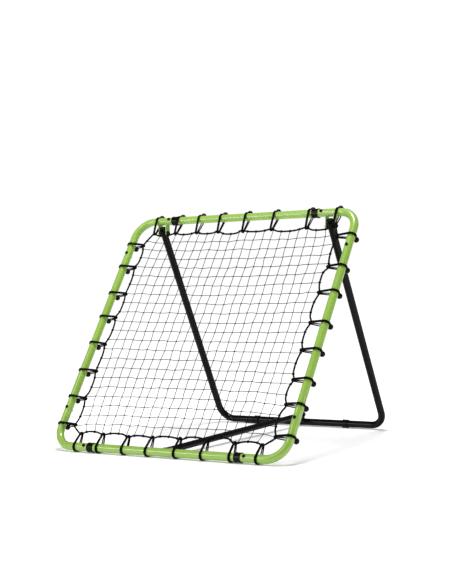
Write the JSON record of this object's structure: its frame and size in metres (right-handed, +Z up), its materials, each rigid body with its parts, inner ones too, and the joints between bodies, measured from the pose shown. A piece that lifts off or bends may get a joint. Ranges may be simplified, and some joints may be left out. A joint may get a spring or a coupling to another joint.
{
  "type": "pitch back rebounder",
  "caption": "Square tubular frame leaning back, with a knotted ball net sprung by elastic loops, a hinged rear support and a telescopic strut that sets the angle.",
  "frame": {"origin": "on the floor, in the middle of the stand between the front and rear tubes, on the mid plane", "axes": "+Z up, +Y towards the back, +X to the right seen from the player's side"},
  "size_m": [1.2114, 1.1405, 1.0154],
  "materials": {
    "green_paint": "lime green powder coat",
    "black_paint": "black satin powder coat",
    "black_plastic": "moulded",
    "black_steel": "black plated",
    "bright_steel": "zinc plated",
    "net_cord": "black knotted cord",
    "elastic": "black braided elastic cord",
    "ball_plastic": "moulded"
  },
  "bodies": {
    "frame": {"corner_tube_bottom_left": "green_paint", "corner_tube_bottom_right": "green_paint", "corner_tube_top_left": "green_paint", "corner_tube_top_right": "green_paint", "bottom_tube": "green_paint", "top_tube": "green_paint", "left_tube": "green_paint", "right_tube": "green_paint", "frame_joint_collars": "black_plastic", "frame_joint_bolts": "black_steel", "frame_joint_nuts": "black_steel", "hinge_bracket_left": "green_paint", "hinge_bracket_right": "green_paint", "hinge_bolts": "black_steel", "hinge_nuts": "black_steel", "hinge_washers": "black_plastic", "strut_bracket": "green_paint", "strut_front_bolt": "black_steel", "strut_front_nut": "black_steel", "net": "net_cord", "border_rope": "net_cord", "bungee_loops_top": "elastic", "bungee_loops_bottom": "elastic", "bungee_loops_left": "elastic", "bungee_loops_right": "elastic", "bungee_balls_top": "ball_plastic", "bungee_balls_bottom": "ball_plastic", "bungee_balls_left": "ball_plastic", "bungee_balls_right": "ball_plastic"},
    "rear_support": {"leg_tube_left": "black_paint", "leg_tube_right": "black_paint", "rear_corner_tube_left": "black_paint", "rear_corner_tube_right": "black_paint", "rear_tube": "black_paint", "rear_joint_collars": "black_plastic", "rear_joint_bolts": "black_steel", "rear_joint_nuts": "black_steel", "leg_end_caps": "black_plastic", "leg_pivot_sleeves": "bright_steel", "strut_ears": "black_paint"},
    "strut_outer": {"strut_outer_tube": "black_paint", "strut_guide_collar": "black_plastic", "strut_front_sleeve": "bright_steel"},
    "strut_inner": {"strut_inner_tube": "black_paint", "strut_end_plug": "black_plastic", "strut_rear_bolt": "black_steel", "strut_rear_nut": "black_steel", "lock_spring": "bright_steel"},
    "lock_button": {"lock_button": "bright_steel"}
  },
  "joints": [
    {"name": "rear_support_hinge", "type": "hinge", "parent": "frame", "child": "rear_support", "pos_m": [0, 0.11246, 0.92875], "axis": [1, 0, 0], "range_deg": [0, 30]},
    {"name": "strut_turn", "type": "hinge", "parent": "frame", "child": "strut_outer", "pos_m": [0, -0.506, 0.026], "axis": [1, 0, 0], "range_deg": [0, 12.7]},
    {"name": "strut_slide", "type": "slide", "parent": "strut_outer", "child": "strut_inner", "axis": [0, 0.9997, 0.0237], "range_m": [0, 0.4251], "deforming": ["lock_spring", "lock_button"]},
    {"name": "lock_button_slide", "type": "slide", "parent": "strut_inner", "child": "lock_button", "axis": [1, 0, 0], "range_m": [0, 0.0045], "stiffness_N_per_m": 800, "deforming": ["lock_spring"]}
  ],
  "couplings": [
    {"joint": "strut_turn", "follows": "rear_support_hinge", "ratio": 0.42285},
    {"joint": "strut_slide", "follows": "rear_support_hinge", "m_per_rad": 0.81172}
  ]
}
